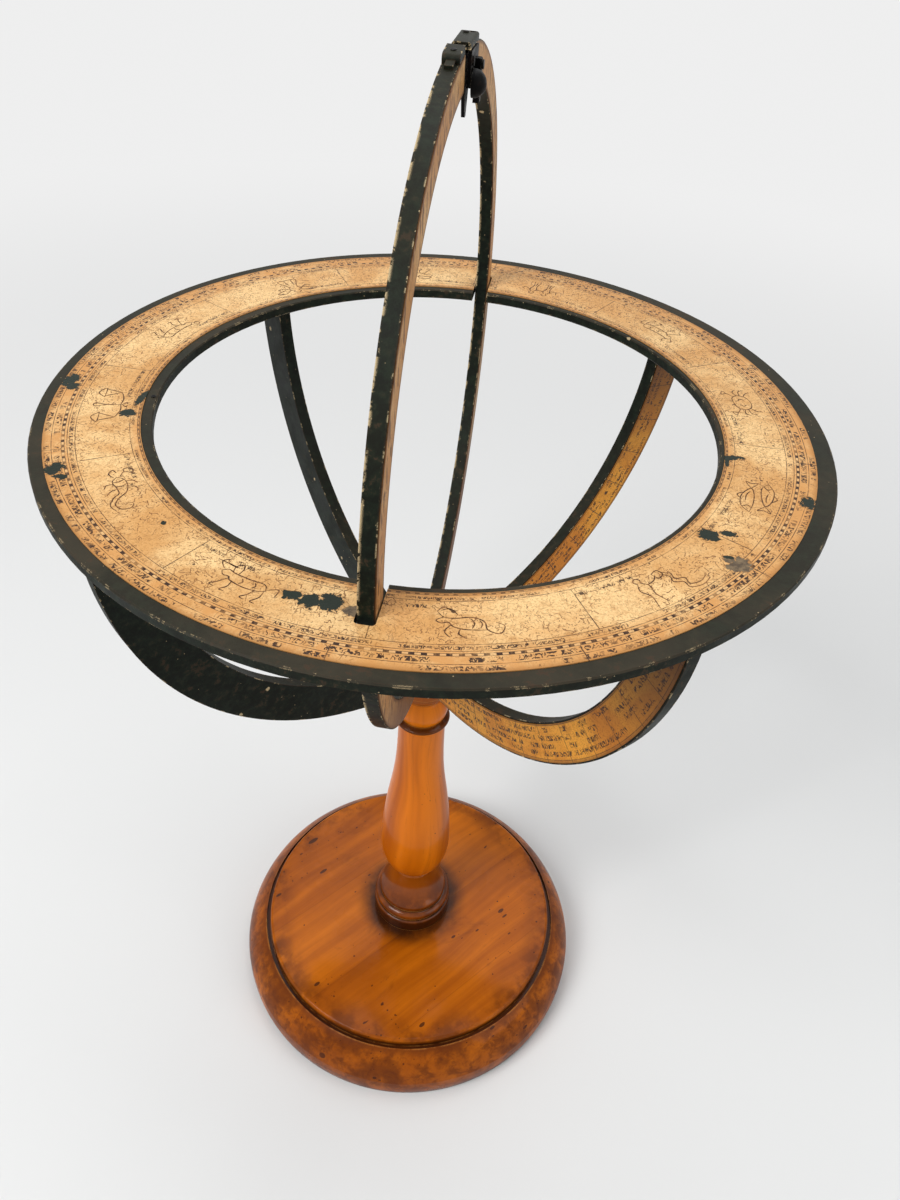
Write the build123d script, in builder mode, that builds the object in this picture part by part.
"""Wooden stand of a papered armillary sphere, in millimetres.

A turned base and pillar carry four quarter-circle supports, which hold a flat horizon ring.
The meridian ring stands upright in two notches of the horizon ring and turns in them about
the X axis, which passes through the centre of the missing sphere. The iron fitting for the
sphere's upper pole sits in a gap at the top of the meridian ring.
Origin: centre of the base's underside. The meridian ring lies in the YZ plane, front at -Y.
"""
import os
from math import cos, radians, sin

from build123d import *

os.makedirs("parts", exist_ok=True)

# Main heights and fits
base_height = 31.0
horizon_height = 328.0
joint_clearance = 0.05
running_clearance = 0.3
paper_thickness = 0.3

# Base: a flat raised disc, a narrow groove round it and a rounded rim that slopes outward.
# The pillar stands a little behind the middle of the base.
base_centre_forward = 4.0
base_rim_radius = 85.3
base_foot_radius = base_rim_radius - 1.1
base_side_bulge = 0.6
base_rim_height = 12.0
base_rim_top_drop = 3.6
base_rim_curve_radius = 26.0
base_groove_outer_radius = base_rim_radius - 10.1
base_groove_width = 2.2
base_groove_depth = 5.2
base_disc_edge_round = 1.3
base_bottom_chamfer = 1.0

# Screw that draws the pillar down from under the base
base_screw_head_radius = 4.5
base_screw_head_height = 3.0
base_screw_radius = 2.2
base_screw_length = 34.0
base_washer_radius = 8.0
base_washer_thickness = 1.2
base_recess_radius = 9.5
base_recess_depth = 6.0

# Pillar, turned in one piece: foot mouldings, swelling shaft, collar, bulb and top bead
pillar_tenon_radius = 8.0
pillar_tenon_length = 18.0
foot_plinth_radius = 19.5
foot_plinth_height = 7.6
foot_plinth_round = 1.2
foot_waist_radius = 18.0
foot_waist_height = 0.8
foot_ring_radius = 19.0
foot_ring_height = 4.6
foot_bead_radius = 16.9
foot_bead_height = 3.6
foot_moulding_step = 0.6
foot_cove_top_radius = 9.9
foot_cove_height = 16.6
shaft_crease_radius = 9.0
shaft_crease_height = 1.2
underside_radius = 14.4
underside_height_above_foot = 8.0
swell_radius = 16.6
swell_height_above_foot = 27.0
shoulder_radius = 13.9
shoulder_height_above_foot = 57.0
neck_low_radius = 11.2
neck_low_height_above_foot = 78.0
neck_radius = 10.3
neck_drop = 22.0
collar_radius = 12.1
collar_thickness = 1.6
collar_drop = 18.4
collar_edge_round = 0.5
groove_radius = 9.6
groove_rise = 0.7
bulb_radius = 11.1
bulb_top_radius = 8.8
bulb_lift = 0.6
bead_radius = 9.6
bead_height = 4.6
top_tenon_radius = 4.0
top_tenon_length = 12.0

# Horizon ring, and the radii that follow from it: each piece keeps its own margin or width
horizon_outer_radius = 130.0
horizon_inner_radius = horizon_outer_radius - 36.9
horizon_thickness = 3.6
horizon_edge_chamfer = 0.4
meridian_inner_radius = horizon_inner_radius + 5.0
meridian_outer_radius = meridian_inner_radius + 10.0
support_outer_radius = horizon_outer_radius - 0.7
support_inner_radius = support_outer_radius - 15.5

# Hub block that joins the pillar, the four supports and the meridian ring's lower edge
hub_radius = 11.0
hub_base_depth = support_outer_radius + 3.7
hub_top_depth = meridian_outer_radius - 4.1
hub_mortise_top_depth = hub_top_depth / 2
hub_edge_round = 2.5

# Quarter-circle supports, and their directions round the vertical axis
support_centre_offset = 2.7
support_thickness = 5.1
support_tenon_start = 5.5
support_azimuths = {
    "back_left": 134.7,
    "back_right": 48.6,
    "front_left": 229.5,
    "front_right": 312.3,
}
support_paper_margin = 0.7
horizon_tenon_height = 1.8
horizon_tenon_width = 10.0
horizon_tenon_radius = (support_outer_radius + support_inner_radius) / 2 - support_centre_offset

# The horizon's printed paper, its notches for the meridian ring, screws and rim nail
paper_outer_radius = horizon_outer_radius - 5.2
paper_inner_radius = horizon_inner_radius + 2.6
paper_shift = 1.1
notch_width = 5.8
notch_depth_radius = meridian_outer_radius + 2.4
notch_corner_radius = 1.2
horizon_screw_radius = 1.0
horizon_screw_head_radius = 2.2
horizon_screw_length = 14.0
rim_nail_azimuth = 191.0
rim_nail_radial_place = horizon_inner_radius + 1.4
rim_nail_head_radius = 0.8
rim_nail_head_height = 0.35
rim_nail_shank_radius = 0.35
rim_nail_length = 3.0

# Meridian ring: angles are measured from the top, towards the back
meridian_thickness = 4.8
meridian_paper_margin = 0.4
gap_front_angle = -3.4
gap_back_angle = 2.0

# Wooden blocks on the outer edge: one in front of the gap, and a flat one that bridges it
front_block_start = -8.1
front_block_end = -3.9
front_block_rise = 2.2
front_block_round = 1.4
front_wedge_start = -9.9
front_wedge_rise = 1.0
front_wedge_width = 2.4
bridge_front = -3.1
bridge_back = 11.6
bridge_left = -2.0
bridge_right = 3.3
bridge_top = meridian_outer_radius + 1.7
bridge_side_round = 0.9
bridge_pocket_width = 3.9
bridge_pocket_height = 1.0
bridge_pocket_depth = 0.6
bridge_hole_radius = 0.8
bridge_hole_depth = 1.2
bridge_hole_back = 1.7
bridge_hole_right = 1.5
nail_radius = 0.45
nail_head_radius = 0.8
nail_head_height = 0.3
nail_length = 6.0
nail_angles = (-6.2, 4.4)

# Iron fitting of the upper pole
cheek_thickness = 1.1
cheek_start = -1.0
cheek_end = 6.0
cheek_margin = 0.5
strip_thickness = 1.0
strip_width = 6.0
strip_top_radius = meridian_outer_radius - 0.9
strip_shoulder_radius = meridian_inner_radius - 1.1
strip_tip_radius = meridian_inner_radius - 7.1
strip_tip_width = 1.6
bush_half_width = 1.3
bush_depth = 5.0
bush_bottom_radius = meridian_inner_radius - 2.3
bush_top_radius = meridian_outer_radius - 5.7
pole_bore_radius = 0.8
pole_bore_depth = 5.6
packing_width = 1.9
packing_depth = 4.8
rivet_radius = 0.7
rivet_head_radius = 1.2
rivet_head_height = 0.5
hanger_rivet_place = meridian_outer_radius - 3.1
stop_bar_width = 2.3
stop_bar_thickness = 1.9
stop_bar_centre = 5.8
stop_bar_chamfer = 0.3
stop_bar_bottom = meridian_inner_radius - 4.6
stop_bar_top = meridian_outer_radius - 3.4
stop_rivet_places = (meridian_inner_radius + 1.6, meridian_outer_radius - 5.0)
clamp_place = meridian_inner_radius + 1.5
clamp_shank_radius = 0.9
clamp_knob_radius = 3.6
clamp_knob_rim = 0.8
clamp_knob_height = 3.9

# Plain bush of the lower pole
south_bush_radius = 1.6
south_bush_length = 7.0

# Faces and places that follow from the sizes above
pillar_top = horizon_height - hub_base_depth
pillar_tenon_base = base_height - pillar_tenon_length
screw_seat = base_recess_depth - base_washer_thickness
screw_tip = screw_seat + base_screw_length
horizon_underside = horizon_height - horizon_thickness
meridian_wood_thickness = meridian_thickness - paper_thickness
meridian_left = -meridian_thickness / 2
meridian_right = meridian_thickness / 2
meridian_wood_right = meridian_right - paper_thickness
support_wood_thickness = support_thickness - paper_thickness
cheek_outer_face = meridian_right + cheek_thickness
base_groove_inner_radius = base_groove_outer_radius - base_groove_width
base_groove_floor = base_height - base_groove_depth
base_rim_top = base_height - base_rim_top_drop
quarter_turn = 90
strip_outer_face = bush_half_width + joint_clearance + strip_thickness
knob_seat = cheek_outer_face + running_clearance


def meridian_plane(x):
    """Upright plane at this x: its own x runs to the back, its y runs up from the centre."""
    return Plane(origin=(x, 0, horizon_height), x_dir=(0, 1, 0), z_dir=(1, 0, 0))


def support_plane(azimuth):
    """Upright plane through the axis: its x runs outward, its normal to the papered side."""
    turn = radians(azimuth)
    return Plane(
        origin=(0, 0, horizon_height),
        x_dir=(cos(turn), sin(turn), 0),
        z_dir=(sin(turn), -cos(turn), 0),
    )


def radial_plane(angle, radius, x=0.0):
    """Plane square to the meridian ring's radius at this angle, facing outward."""
    turn = radians(angle)
    return Plane(
        origin=(x, radius * sin(turn), horizon_height + radius * cos(turn)),
        x_dir=(1, 0, 0),
        z_dir=(0, sin(turn), cos(turn)),
    )


def ring_sector(inner, outer, start, end):
    """Piece of a flat ring, from the start angle to the end angle."""
    with BuildSketch() as sector:
        with BuildLine():
            outer_arc = CenterArc((0, 0), outer, quarter_turn - end, end - start)
            inner_arc = CenterArc((0, 0), inner, quarter_turn - end, end - start)
            Line(outer_arc @ 0, inner_arc @ 0)
            Line(outer_arc @ 1, inner_arc @ 1)
        make_face()
    return sector.sketch


def strip_outline():
    """Hanger strip, as wide as the hanger down to its shoulder and tapered to its tip."""
    half_width = strip_width / 2
    half_tip = strip_tip_width / 2
    Polygon(
        (-half_width, strip_top_radius),
        (-half_width, strip_shoulder_radius),
        (-half_tip, strip_tip_radius),
        (half_tip, strip_tip_radius),
        (half_width, strip_shoulder_radius),
        (half_width, strip_top_radius),
        align=None,
    )


def support_outline(start, top, grow=0.0):
    """Quarter ring from this distance off the axis up to this height under the horizon."""
    with Locations((-support_centre_offset, 0)):
        Circle(support_outer_radius + grow)
        Circle(support_inner_radius - grow, mode=Mode.SUBTRACT)
    with Locations((start, -top)):
        Rectangle(
            2 * support_outer_radius,
            2 * support_outer_radius,
            align=(Align.MIN, Align.MAX),
            mode=Mode.INTERSECT,
        )


def notch_outlines(mode=Mode.ADD):
    """The two notches of the horizon ring, open to its hole at the front and the back."""
    length = notch_depth_radius - horizon_inner_radius / 2
    for side in (-1, 1):
        with Locations((0, side * (notch_depth_radius - length / 2))):
            RectangleRounded(notch_width, length, notch_corner_radius, mode=mode)


def finish(builder, name):
    """Labels one finished piece and writes its STEP file."""
    builder.part.label = name
    export_step(builder.part, f"parts/{name}.step")


# Base: one turning, with a socket for the pillar and a recess for the screw under it
with BuildPart() as base:
    turning_plane = Plane(
        origin=(0, -base_centre_forward, 0), x_dir=(1, 0, 0), z_dir=(0, -1, 0)
    )
    with BuildSketch(turning_plane):
        with BuildLine():
            underside = Line((0, 0), (base_foot_radius, 0))
            side_middle = (base_foot_radius + base_rim_radius) / 2 + base_side_bulge
            side = ThreePointArc(
                underside @ 1,
                (side_middle, base_rim_height / 2),
                (base_rim_radius, base_rim_height),
            )
            rim = RadiusArc(
                side @ 1,
                (base_groove_outer_radius, base_rim_top),
                -base_rim_curve_radius,
            )
            groove = Polyline(
                rim @ 1,
                (base_groove_outer_radius, base_groove_floor),
                (base_groove_inner_radius, base_groove_floor),
                (base_groove_inner_radius, base_height - base_disc_edge_round),
            )
            disc_edge = RadiusArc(
                groove @ 1,
                (base_groove_inner_radius - base_disc_edge_round, base_height),
                -base_disc_edge_round,
            )
            Polyline(disc_edge @ 1, (0, base_height), (0, 0))
        make_face()
    revolve(axis=Axis((0, -base_centre_forward, 0), (0, 0, 1)))
    chamfer(base.edges().group_by(Axis.Z)[0], base_bottom_chamfer)
    with Locations((0, 0, base_height)):
        Hole(pillar_tenon_radius + joint_clearance, pillar_tenon_length + joint_clearance)
    with Locations(Plane.XY.rotated((180, 0, 0))):
        CounterBoreHole(base_screw_radius + joint_clearance, base_recess_radius, base_recess_depth)
finish(base, "base")

with BuildPart() as base_washer:
    with BuildSketch(Plane.XY.offset(base_recess_depth)):
        Circle(base_washer_radius)
        Circle(base_screw_radius + joint_clearance, mode=Mode.SUBTRACT)
    extrude(amount=-base_washer_thickness)
finish(base_washer, "base_washer")

with BuildPart() as base_screw:
    with BuildSketch(Plane.XY.offset(screw_seat)):
        Circle(base_screw_head_radius)
    extrude(amount=-base_screw_head_height)
    fillet(base_screw.edges().group_by(Axis.Z)[0], base_screw_head_height / 3)
    with BuildSketch(Plane.XY.offset(screw_seat)):
        Circle(base_screw_radius)
    extrude(amount=base_screw_length)
    with BuildSketch(Plane.XY.offset(screw_seat - base_screw_head_height)):
        Rectangle(2 * base_screw_head_radius, base_screw_radius / 2)
    extrude(amount=base_screw_head_height / 2, mode=Mode.SUBTRACT)
finish(base_screw, "base_screw")

# Pillar: the mouldings are stacked up from the base and down from the hub, the shaft between
plinth_top = base_height + foot_plinth_height
waist_top = plinth_top + foot_waist_height
foot_ring_top = waist_top + foot_ring_height
foot_bead_top = foot_ring_top + foot_bead_height
cove_top = foot_bead_top + foot_cove_height
shaft_foot = cove_top + shaft_crease_height
collar_top = pillar_top - collar_drop
collar_base = collar_top - collar_thickness
bulb_top = pillar_top - bead_height
with BuildPart() as pillar:
    with BuildSketch(Plane.XZ):
        with BuildLine():
            tenon = Polyline(
                (0, pillar_tenon_base),
                (pillar_tenon_radius, pillar_tenon_base),
                (pillar_tenon_radius, base_height),
                (foot_plinth_radius, base_height),
                (foot_plinth_radius, plinth_top - foot_plinth_round),
            )
            plinth_edge = RadiusArc(
                tenon @ 1,
                (foot_plinth_radius - foot_plinth_round, plinth_top),
                -foot_plinth_round,
            )
            plinth_face = Line(plinth_edge @ 1, (foot_waist_radius, plinth_top))
            waist = Line(plinth_face @ 1, (foot_waist_radius, waist_top))
            foot_ring = ThreePointArc(
                waist @ 1,
                (foot_ring_radius, (waist_top + foot_ring_top) / 2),
                (foot_bead_radius - foot_moulding_step, foot_ring_top),
            )
            foot_bead = ThreePointArc(
                foot_ring @ 1,
                (foot_bead_radius, (foot_ring_top + foot_bead_top) / 2),
                (foot_bead_radius - foot_moulding_step, foot_bead_top),
            )
            cove = TangentArc(
                (foot_cove_top_radius, cove_top),
                foot_bead @ 1,
                tangent=(0, -1),
            )
            crease = Line((foot_cove_top_radius, cove_top), (shaft_crease_radius, shaft_foot))
            shaft = Spline(
                crease @ 1,
                (underside_radius, shaft_foot + underside_height_above_foot),
                (swell_radius, shaft_foot + swell_height_above_foot),
                (shoulder_radius, shaft_foot + shoulder_height_above_foot),
                (neck_low_radius, shaft_foot + neck_low_height_above_foot),
                (neck_radius, pillar_top - neck_drop),
                tangents=((1, 1), (0, 1)),
                tangent_scalars=(1.0, 0.6),
            )
            collar_foot = Line(shaft @ 1, (collar_radius - collar_edge_round, collar_base))
            collar = ThreePointArc(
                collar_foot @ 1,
                (collar_radius, (collar_base + collar_top) / 2),
                (collar_radius - collar_edge_round, collar_top),
            )
            collar_face = Line(collar @ 1, (groove_radius, collar_top + groove_rise))
            bulb = ThreePointArc(
                collar_face @ 1,
                (bulb_radius, (collar_top + bulb_top) / 2 + bulb_lift),
                (bulb_top_radius, bulb_top),
            )
            bead = ThreePointArc(
                bulb @ 1,
                (bead_radius, pillar_top - bead_height / 2),
                (bulb_top_radius, pillar_top),
            )
            Polyline(
                bead @ 1,
                (top_tenon_radius, pillar_top),
                (top_tenon_radius, pillar_top + top_tenon_length),
                (0, pillar_top + top_tenon_length),
                (0, pillar_tenon_base),
            )
        make_face()
    revolve(axis=Axis.Z)
    with BuildSketch(Plane.XY.offset(pillar_tenon_base)):
        Circle(base_screw_radius + joint_clearance)
    extrude(amount=screw_tip + joint_clearance - pillar_tenon_base, mode=Mode.SUBTRACT)
finish(pillar, "pillar")

# Hub: a short drum with mortises for the supports and a groove for the meridian ring
with BuildPart() as hub:
    with BuildSketch(Plane.XY.offset(pillar_top)):
        Circle(hub_radius)
    extrude(amount=hub_base_depth - hub_top_depth)
    fillet(hub.edges().group_by(Axis.Z)[-1], hub_edge_round)
    with BuildSketch(Plane.XY.offset(pillar_top)):
        Circle(top_tenon_radius + joint_clearance)
    extrude(amount=top_tenon_length + joint_clearance, mode=Mode.SUBTRACT)
    for azimuth in support_azimuths.values():
        with BuildSketch(support_plane(azimuth)):
            support_outline(
                support_tenon_start - joint_clearance, hub_mortise_top_depth, joint_clearance
            )
        extrude(amount=support_thickness / 2 + joint_clearance, both=True, mode=Mode.SUBTRACT)
    with BuildSketch(meridian_plane(0)):
        Circle(meridian_outer_radius + running_clearance)
    extrude(amount=meridian_right + running_clearance, both=True, mode=Mode.SUBTRACT)
finish(hub, "hub_block")

# Supports: each a quarter ring with a tenon into the hub and one into the horizon ring
for side, azimuth in support_azimuths.items():
    outward = support_plane(azimuth)
    back_face = outward.offset(-support_thickness / 2)
    paper_face = outward.offset(support_thickness / 2 - paper_thickness)
    with BuildPart() as support:
        with BuildSketch(back_face):
            support_outline(support_tenon_start, horizon_thickness)
            with Locations((horizon_tenon_radius, -horizon_thickness)):
                Rectangle(
                    horizon_tenon_width,
                    2 * horizon_tenon_height,
                )
        extrude(amount=support_wood_thickness)
        with Locations(Plane.XY.offset(horizon_height - horizon_thickness + horizon_tenon_height)):
            with PolarLocations(horizon_tenon_radius, 1, azimuth):
                Hole(horizon_screw_radius + joint_clearance, horizon_screw_length)
    finish(support, f"support_{side}")

    with BuildPart() as support_paper:
        with BuildSketch(paper_face):
            support_outline(
                hub_radius + support_paper_margin,
                horizon_thickness + support_paper_margin,
                -support_paper_margin,
            )
        extrude(amount=paper_thickness)
    finish(support_paper, f"support_paper_{side}")

# Horizon ring: flat, notched at the front and the back, with mortises in its underside
with BuildPart() as horizon_ring:
    with BuildSketch(Plane.XY.offset(horizon_underside)):
        Circle(horizon_outer_radius)
        Circle(horizon_inner_radius, mode=Mode.SUBTRACT)
    extrude(amount=horizon_thickness)
    chamfer(horizon_ring.edges().filter_by(GeomType.CIRCLE), horizon_edge_chamfer)
    with BuildSketch(Plane.XY.offset(horizon_underside)):
        notch_outlines()
    extrude(amount=horizon_thickness, mode=Mode.SUBTRACT)
    with BuildSketch(Plane.XY.offset(horizon_underside)):
        for azimuth in support_azimuths.values():
            with PolarLocations(horizon_tenon_radius, 1, azimuth):
                Rectangle(
                    horizon_tenon_width + 2 * joint_clearance,
                    support_thickness + 2 * joint_clearance,
                )
    extrude(amount=horizon_tenon_height + joint_clearance, mode=Mode.SUBTRACT)
    for azimuth in support_azimuths.values():
        with Locations(Plane.XY.offset(horizon_height)):
            with PolarLocations(horizon_tenon_radius, 1, azimuth):
                CounterSinkHole(
                    horizon_screw_radius + joint_clearance,
                    horizon_screw_head_radius + joint_clearance,
                    horizon_thickness,
                )
    with Locations(Plane.XY.offset(horizon_height)):
        with PolarLocations(rim_nail_radial_place, 1, rim_nail_azimuth):
            Hole(rim_nail_shank_radius + joint_clearance, rim_nail_length)
finish(horizon_ring, "horizon_ring")

with BuildPart() as horizon_paper:
    with BuildSketch(Plane.XY.offset(horizon_height)):
        with Locations((-paper_shift, 0)):
            Circle(paper_outer_radius)
            Circle(paper_inner_radius, mode=Mode.SUBTRACT)
        notch_outlines(Mode.SUBTRACT)
    extrude(amount=paper_thickness)
finish(horizon_paper, "horizon_paper")

with BuildPart() as horizon_screws:
    head_height = horizon_screw_head_radius - horizon_screw_radius
    for azimuth in support_azimuths.values():
        with PolarLocations(horizon_tenon_radius, 1, azimuth):
            with Locations((0, 0, horizon_height)):
                Cone(
                    horizon_screw_radius,
                    horizon_screw_head_radius,
                    head_height,
                    align=(Align.CENTER, Align.CENTER, Align.MAX),
                )
                Cylinder(
                    horizon_screw_radius,
                    horizon_screw_length,
                    align=(Align.CENTER, Align.CENTER, Align.MAX),
                )
finish(horizon_screws, "horizon_screws")

with BuildPart() as rim_nail:
    with Locations(Plane.XY.offset(horizon_height)):
        with PolarLocations(rim_nail_radial_place, 1, rim_nail_azimuth):
            Cylinder(
                rim_nail_head_radius,
                rim_nail_head_height,
                align=(Align.CENTER, Align.CENTER, Align.MIN),
            )
            Cylinder(
                rim_nail_shank_radius,
                rim_nail_length,
                align=(Align.CENTER, Align.CENTER, Align.MAX),
            )
finish(rim_nail, "rim_nail")

# Meridian ring: open at the top, where the pole fitting stands in the gap
with BuildPart() as meridian_ring:
    with BuildSketch(meridian_plane(meridian_left)):
        add(
            ring_sector(
                meridian_inner_radius, meridian_outer_radius, gap_back_angle, 360 + gap_front_angle
            )
        )
        with Locations(*[(stop_bar_centre, place) for place in stop_rivet_places]):
            Circle(rivet_radius + joint_clearance, mode=Mode.SUBTRACT)
    extrude(amount=meridian_wood_thickness)
    with Locations(radial_plane(180, meridian_inner_radius).rotated((180, 0, 0))):
        Hole(south_bush_radius + joint_clearance, south_bush_length + joint_clearance)
    for angle in nail_angles:
        with Locations(radial_plane(angle, meridian_outer_radius)):
            Hole(nail_radius + joint_clearance, nail_length)
finish(meridian_ring, "meridian_ring")

with BuildPart() as meridian_paper:
    with BuildSketch(meridian_plane(meridian_wood_right)):
        add(
            ring_sector(
                meridian_inner_radius + meridian_paper_margin,
                meridian_outer_radius - meridian_paper_margin,
                gap_back_angle,
                360 + gap_front_angle,
            )
        )
        with Locations(*[(stop_bar_centre, place) for place in stop_rivet_places]):
            Circle(rivet_radius + joint_clearance, mode=Mode.SUBTRACT)
    extrude(amount=paper_thickness)
finish(meridian_paper, "meridian_paper")

with BuildPart() as south_pole_bush:
    with Locations(radial_plane(180, meridian_inner_radius)):
        Cylinder(
            south_bush_radius,
            south_bush_length,
            align=(Align.CENTER, Align.CENTER, Align.MIN),
        )
        Hole(pole_bore_radius)
finish(south_pole_bush, "south_pole_bush")

# Blocks on the outer edge: a small one in front of the gap, and a flat one that bridges it
with BuildPart() as front_block:
    with BuildSketch(meridian_plane(meridian_left)):
        add(
            ring_sector(
                meridian_outer_radius,
                meridian_outer_radius + front_block_rise,
                front_block_start,
                front_block_end,
            )
        )
    extrude(amount=meridian_thickness)
    front_edges = front_block.edges().group_by(Axis.Y)[0]
    fillet(front_edges.sort_by(Axis.Z)[-1], front_block_round)
    with BuildSketch(meridian_plane(-front_wedge_width / 2)):
        add(
            ring_sector(
                meridian_outer_radius,
                meridian_outer_radius + front_wedge_rise,
                front_wedge_start,
                (front_block_start + front_block_end) / 2,
            )
        )
    extrude(amount=front_wedge_width)
    with Locations(radial_plane(nail_angles[0], meridian_outer_radius + front_block_rise)):
        Hole(nail_radius + joint_clearance)
finish(front_block, "front_block")

with BuildPart() as bridge_block:
    with BuildSketch(meridian_plane(bridge_left)):
        with Locations(((bridge_front + bridge_back) / 2, bridge_top)):
            Rectangle(
                bridge_back - bridge_front,
                bridge_top - meridian_inner_radius,
                align=(Align.CENTER, Align.MAX),
            )
        Circle(meridian_outer_radius, mode=Mode.SUBTRACT)
    extrude(amount=bridge_right - bridge_left)
    top_edges = bridge_block.edges().group_by(Axis.Z)[-1]
    fillet(top_edges.sort_by(Axis.Y)[1:], bridge_side_round)
    pocket_middle = (meridian_outer_radius + bridge_top) / 2
    pocket_plane = Plane(
        origin=((bridge_left + bridge_right) / 2, bridge_front, horizon_height + pocket_middle),
        x_dir=(1, 0, 0),
        z_dir=(0, -1, 0),
    )
    with BuildSketch(pocket_plane):
        Rectangle(bridge_pocket_width, bridge_pocket_height)
    extrude(amount=-bridge_pocket_depth, mode=Mode.SUBTRACT)
    hole_place = (
        bridge_right - bridge_hole_right,
        bridge_back - bridge_hole_back,
        horizon_height + bridge_top,
    )
    with Locations(hole_place):
        Hole(bridge_hole_radius, bridge_hole_depth)
    with Locations(radial_plane(nail_angles[1], bridge_top)):
        Hole(nail_radius + joint_clearance)
finish(bridge_block, "bridge_block")

with BuildPart() as block_nails:
    bridge_nail_tilt = radians(nail_angles[1])
    bridge_nail_seat = bridge_top / cos(bridge_nail_tilt) + nail_head_radius * sin(bridge_nail_tilt)
    nail_seats = (meridian_outer_radius + front_block_rise, bridge_nail_seat)
    for angle, seat in zip(nail_angles, nail_seats):
        with Locations(radial_plane(angle, seat)):
            Cylinder(
                nail_head_radius,
                nail_head_height,
                align=(Align.CENTER, Align.CENTER, Align.MIN),
            )
            Cylinder(
                nail_radius,
                nail_length,
                align=(Align.CENTER, Align.CENTER, Align.MAX),
            )
finish(block_nails, "block_nails")

# Iron cheek on the papered face, and the bar beside the knob, both riveted to the back arm
with BuildPart() as pole_cheek:
    with BuildSketch(meridian_plane(meridian_right)):
        add(
            ring_sector(
                meridian_inner_radius + cheek_margin,
                meridian_outer_radius - cheek_margin,
                cheek_start,
                cheek_end,
            )
        )
        with Locations(*[(stop_bar_centre, place) for place in stop_rivet_places]):
            Circle(rivet_radius + joint_clearance, mode=Mode.SUBTRACT)
        with Locations((0, hanger_rivet_place)):
            Circle(rivet_radius + joint_clearance, mode=Mode.SUBTRACT)
        with Locations((0, clamp_place)):
            Circle(clamp_shank_radius + joint_clearance, mode=Mode.SUBTRACT)
    extrude(amount=cheek_thickness)
finish(pole_cheek, "pole_cheek")

with BuildPart() as stop_bar:
    with BuildSketch(meridian_plane(cheek_outer_face)):
        with Locations((stop_bar_centre, (stop_bar_bottom + stop_bar_top) / 2)):
            Rectangle(stop_bar_width, stop_bar_top - stop_bar_bottom)
        with Locations(*[(stop_bar_centre, place) for place in stop_rivet_places]):
            Circle(rivet_radius + joint_clearance, mode=Mode.SUBTRACT)
    extrude(amount=stop_bar_thickness)
    outer_edges = stop_bar.edges().group_by(Axis.X)[-1].filter_by(GeomType.LINE)
    chamfer(outer_edges, stop_bar_chamfer)
finish(stop_bar, "stop_bar")

with BuildPart() as cheek_rivets:
    for place in stop_rivet_places:
        with Locations(meridian_plane(meridian_left)):
            with Locations((stop_bar_centre, place)):
                Cylinder(
                    rivet_head_radius,
                    rivet_head_height,
                    align=(Align.CENTER, Align.CENTER, Align.MAX),
                )
                Cylinder(
                    rivet_radius,
                    cheek_outer_face + stop_bar_thickness - meridian_left,
                    align=(Align.CENTER, Align.CENTER, Align.MIN),
                )
        with Locations(meridian_plane(cheek_outer_face + stop_bar_thickness)):
            with Locations((stop_bar_centre, place)):
                Cylinder(
                    rivet_head_radius,
                    rivet_head_height,
                    align=(Align.CENTER, Align.CENTER, Align.MIN),
                )
finish(cheek_rivets, "cheek_rivets")

# Hanger: two tapered iron strips with the pole bush and a wood packing between them
with BuildPart() as strip_left:
    with BuildSketch(meridian_plane(-strip_outer_face)):
        strip_outline()
        with Locations((0, hanger_rivet_place)):
            Circle(rivet_radius + joint_clearance, mode=Mode.SUBTRACT)
    extrude(amount=strip_thickness)
finish(strip_left, "strip_left")

with BuildPart() as strip_right:
    with BuildSketch(meridian_plane(strip_outer_face - strip_thickness)):
        strip_outline()
        with Locations((0, hanger_rivet_place)):
            Circle(rivet_radius + joint_clearance, mode=Mode.SUBTRACT)
        with Locations((0, clamp_place)):
            Circle(clamp_shank_radius + joint_clearance, mode=Mode.SUBTRACT)
    extrude(amount=strip_thickness)
finish(strip_right, "strip_right")

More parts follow.
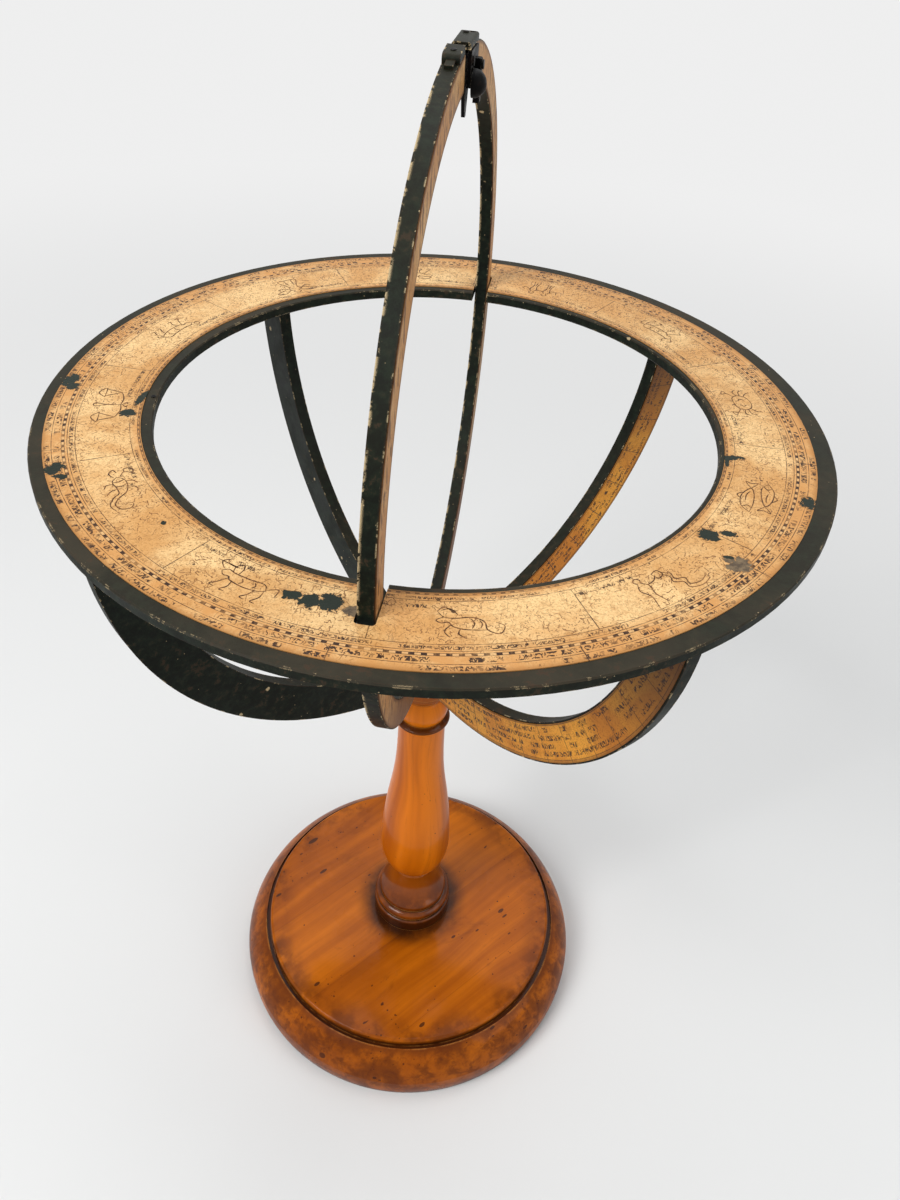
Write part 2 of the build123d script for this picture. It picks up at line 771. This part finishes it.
with BuildPart() as pole_bush:
    with BuildSketch(meridian_plane(-bush_half_width)):
        with Locations((0, (bush_bottom_radius + bush_top_radius) / 2)):
            Rectangle(bush_depth, bush_top_radius - bush_bottom_radius)
    extrude(amount=2 * bush_half_width)
    with BuildSketch(Plane.XY.offset(horizon_height + bush_bottom_radius)):
        Circle(pole_bore_radius)
    extrude(amount=pole_bore_depth, mode=Mode.SUBTRACT)
    with BuildSketch(meridian_plane(0)):
        with Locations((0, clamp_place)):
            Circle(clamp_shank_radius + joint_clearance)
    extrude(amount=bush_half_width, mode=Mode.SUBTRACT)
finish(pole_bush, "pole_bush")

with BuildPart() as hanger_packing:
    packing_bottom = bush_top_radius + joint_clearance
    with BuildSketch(meridian_plane(-bush_half_width)):
        with Locations((0, (packing_bottom + strip_top_radius) / 2)):
            Rectangle(packing_depth, strip_top_radius - packing_bottom)
        with Locations((0, hanger_rivet_place)):
            Circle(rivet_radius + joint_clearance, mode=Mode.SUBTRACT)
    extrude(amount=packing_width)
finish(hanger_packing, "hanger_packing")

with BuildPart() as hanger_rivet:
    with Locations(meridian_plane(-strip_outer_face)):
        with Locations((0, hanger_rivet_place)):
            Cylinder(
                rivet_head_radius,
                rivet_head_height,
                align=(Align.CENTER, Align.CENTER, Align.MAX),
            )
            Cylinder(
                rivet_radius,
                strip_outer_face + cheek_outer_face,
                align=(Align.CENTER, Align.CENTER, Align.MIN),
            )
    with Locations(meridian_plane(cheek_outer_face)):
        with Locations((0, hanger_rivet_place)):
            Cylinder(
                rivet_head_radius,
                rivet_head_height,
                align=(Align.CENTER, Align.CENTER, Align.MIN),
            )
finish(hanger_rivet, "hanger_rivet")

# Clamp screw: a domed knob whose shank presses on the pole's pin inside the bush
with BuildPart() as clamp_screw:
    knob_plane = Plane(
        origin=(0, 0, horizon_height + clamp_place), x_dir=(1, 0, 0), z_dir=(0, -1, 0)
    )
    with BuildSketch(knob_plane):
        with BuildLine():
            flat = Polyline(
                (pole_bore_radius + joint_clearance, 0),
                (pole_bore_radius + joint_clearance, clamp_shank_radius),
                (knob_seat, clamp_shank_radius),
                (knob_seat, clamp_knob_radius),
                (knob_seat + clamp_knob_rim, clamp_knob_radius),
            )
            dome_rise = clamp_knob_height - clamp_knob_rim
            dome = RadiusArc(
                flat @ 1,
                (knob_seat + clamp_knob_height, 0),
                (clamp_knob_radius**2 + dome_rise**2) / (2 * dome_rise),
            )
            Line(dome @ 1, flat @ 0)
        make_face()
    revolve(axis=Axis((0, 0, horizon_height + clamp_place), (1, 0, 0)))
finish(clamp_screw, "clamp_screw")
